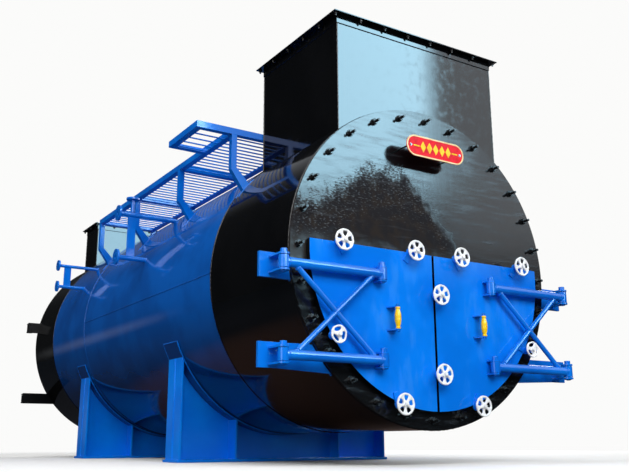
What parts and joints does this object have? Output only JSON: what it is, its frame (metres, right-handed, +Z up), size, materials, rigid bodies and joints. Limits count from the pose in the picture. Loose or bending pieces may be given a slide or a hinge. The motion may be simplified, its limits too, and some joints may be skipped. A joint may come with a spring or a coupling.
{
  "type": "industrial boiler",
  "caption": "Horizontal shell boiler on saddles with braced swing doors, handwheel clamps, uptake boxes, side nozzles and a walkway.",
  "frame": {"origin": "on the floor under the middle of the whole boiler", "axes": "+Z up, +Y along the boiler from the front doors to the rear cover, +X to the right seen from the front"},
  "size_m": [2.6, 6.2239, 3.016],
  "materials": {
    "shell_paint": "gloss blue enamel",
    "door_paint": "gloss blue enamel",
    "saddle_paint": "gloss blue enamel",
    "walkway_paint": "gloss blue enamel",
    "smokebox_paint": "gloss black enamel",
    "tube_sheet_steel": "dull oxidised steel",
    "bare_steel": "turned steel",
    "wheel_paint": "white enamel on cast iron",
    "grip_plastic": "glossy yellow",
    "nameplate_enamel": "red enamel",
    "lining_board": "matt insulating board"
  },
  "bodies": {
    "boiler": {"boiler_shell": "shell_paint", "front_tube_sheet": "tube_sheet_steel", "rear_tube_sheet": "tube_sheet_steel", "fire_tubes": "tube_sheet_steel", "front_smokebox": "smokebox_paint", "front_plate": "smokebox_paint", "front_uptake_box": "smokebox_paint", "front_uptake_flange": "smokebox_paint", "rear_smokebox": "smokebox_paint", "rear_cover": "smokebox_paint", "rear_cover_clamps": "bare_steel", "rear_hinge_brackets": "smokebox_paint", "rear_uptake_box": "smokebox_paint", "rear_uptake_flange": "smokebox_paint", "front_saddle": "saddle_paint", "rear_saddle": "saddle_paint", "walkway_frame": "walkway_paint", "walkway_grating": "walkway_paint", "walkway_posts": "walkway_paint", "front_nozzles": "shell_paint", "rear_nozzles": "shell_paint", "door_hinge_brackets": "door_paint", "door_hinge_pins": "bare_steel", "nameplate": "nameplate_enamel"},
    "right_arm": {"right_door_arm": "door_paint"},
    "left_arm": {"left_door_arm": "door_paint"},
    "right_leaf": {"right_door": "door_paint", "right_door_lining": "lining_board", "right_door_pins": "bare_steel", "right_grip_bracket": "door_paint", "right_grip": "grip_plastic"},
    "left_leaf": {"left_door": "door_paint", "left_door_lining": "lining_board", "left_door_pins": "bare_steel", "left_grip_bracket": "door_paint", "left_grip": "grip_plastic"},
    "left_top_outer_wheel": {"left_top_outer_wheel": "wheel_paint"},
    "left_top_inner_wheel": {"left_top_inner_wheel": "wheel_paint"},
    "left_side_wheel": {"left_side_wheel": "wheel_paint"},
    "left_bottom_wheel": {"left_bottom_wheel": "wheel_paint"},
    "right_top_outer_wheel": {"right_top_outer_wheel": "wheel_paint"},
    "right_top_inner_wheel": {"right_top_inner_wheel": "wheel_paint"},
    "right_side_wheel": {"right_side_wheel": "wheel_paint"},
    "right_bottom_wheel": {"right_bottom_wheel": "wheel_paint"},
    "upper_middle_wheel": {"upper_middle_wheel": "wheel_paint"},
    "lower_middle_wheel": {"lower_middle_wheel": "wheel_paint"}
  },
  "joints": [
    {"name": "right_arm_swing", "type": "hinge", "parent": "boiler", "child": "right_arm", "pos_m": [1.2, -3.0695, 0.911], "axis": [0, 0, 1], "range_deg": [0, 100]},
    {"name": "left_arm_swing", "type": "hinge", "parent": "boiler", "child": "left_arm", "pos_m": [-1.2, -3.0695, 0.911], "axis": [0, 0, -1], "range_deg": [0, 90]},
    {"name": "right_door_pivot", "type": "hinge", "parent": "right_arm", "child": "right_leaf", "pos_m": [0.475, -3.0695, 0.911], "axis": [0, 0, 1], "range_deg": [0, 30]},
    {"name": "left_door_pivot", "type": "hinge", "parent": "left_arm", "child": "left_leaf", "pos_m": [-0.475, -3.0695, 0.911], "axis": [0, 0, -1], "range_deg": [0, 27]},
    {"name": "left_top_outer_wheel_spin", "type": "hinge", "parent": "left_leaf", "child": "left_top_outer_wheel", "pos_m": [-0.775, -3.0895, 1.37], "axis": [0, -1, 0], "continuous": true},
    {"name": "left_top_inner_wheel_spin", "type": "hinge", "parent": "left_leaf", "child": "left_top_inner_wheel", "pos_m": [-0.2, -3.0895, 1.37], "axis": [0, -1, 0], "continuous": true},
    {"name": "left_side_wheel_spin", "type": "hinge", "parent": "left_leaf", "child": "left_side_wheel", "pos_m": [-0.825, -3.0895, 0.778], "axis": [0, -1, 0], "continuous": true},
    {"name": "left_bottom_wheel_spin", "type": "hinge", "parent": "left_leaf", "child": "left_bottom_wheel", "pos_m": [-0.33, -3.0895, 0.375], "axis": [0, -1, 0], "continuous": true},
    {"name": "right_top_outer_wheel_spin", "type": "hinge", "parent": "right_leaf", "child": "right_top_outer_wheel", "pos_m": [0.775, -3.0895, 1.37], "axis": [0, -1, 0], "continuous": true},
    {"name": "right_top_inner_wheel_spin", "type": "hinge", "parent": "right_leaf", "child": "right_top_inner_wheel", "pos_m": [0.2, -3.0895, 1.37], "axis": [0, -1, 0], "continuous": true},
    {"name": "right_side_wheel_spin", "type": "hinge", "parent": "right_leaf", "child": "right_side_wheel", "pos_m": [0.825, -3.0895, 0.778], "axis": [0, -1, 0], "continuous": true},
    {"name": "right_bottom_wheel_spin", "type": "hinge", "parent": "right_leaf", "child": "right_bottom_wheel", "pos_m": [0.33, -3.0895, 0.375], "axis": [0, -1, 0], "continuous": true},
    {"name": "upper_middle_wheel_spin", "type": "hinge", "parent": "right_leaf", "child": "upper_middle_wheel", "pos_m": [0, -3.0895, 1.092], "axis": [0, -1, 0], "continuous": true},
    {"name": "lower_middle_wheel_spin", "type": "hinge", "parent": "right_leaf", "child": "lower_middle_wheel", "pos_m": [0, -3.0895, 0.57], "axis": [0, -1, 0], "continuous": true}
  ],
  "couplings": [
    {"joint": "left_arm_swing", "follows": "right_arm_swing", "ratio": 0.9},
    {"joint": "right_door_pivot", "follows": "right_arm_swing", "ratio": 0.3},
    {"joint": "left_door_pivot", "follows": "right_arm_swing", "ratio": 0.27}
  ]
}
